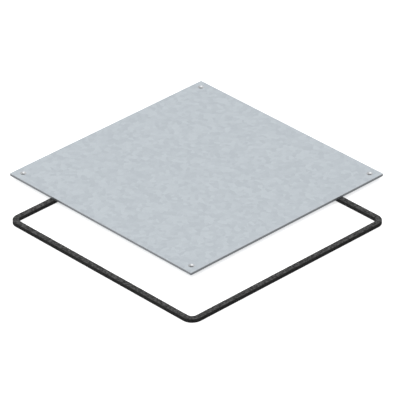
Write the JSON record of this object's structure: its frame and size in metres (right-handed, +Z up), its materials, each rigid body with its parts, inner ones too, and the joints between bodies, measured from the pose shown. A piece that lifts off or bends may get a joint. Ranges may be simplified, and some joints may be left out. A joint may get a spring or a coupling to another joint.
{
  "type": "floor duct cover",
  "caption": "Square galvanised steel floor duct cover with a countersunk screw hole at each corner, laid drawn back on its black sponge rubber sealing ring.",
  "frame": {"origin": "on the floor under the middle of the whole cover's box", "axes": "+Z up out of the floor, +X and +Y along the plate's sides; the ring lies towards +X and -Y, the plate is drawn back towards -X and +Y"},
  "size_m": [0.47, 0.464, 0.0095],
  "materials": {
    "galvanised_steel": "strip galvanised, matt, faint fine spangle",
    "sponge_rubber": "black closed-cell sponge, matt"
  },
  "bodies": {
    "root": {"cover_plate": "galvanised_steel", "sealing_ring": "sponge_rubber"}
  },
  "joints": []
}
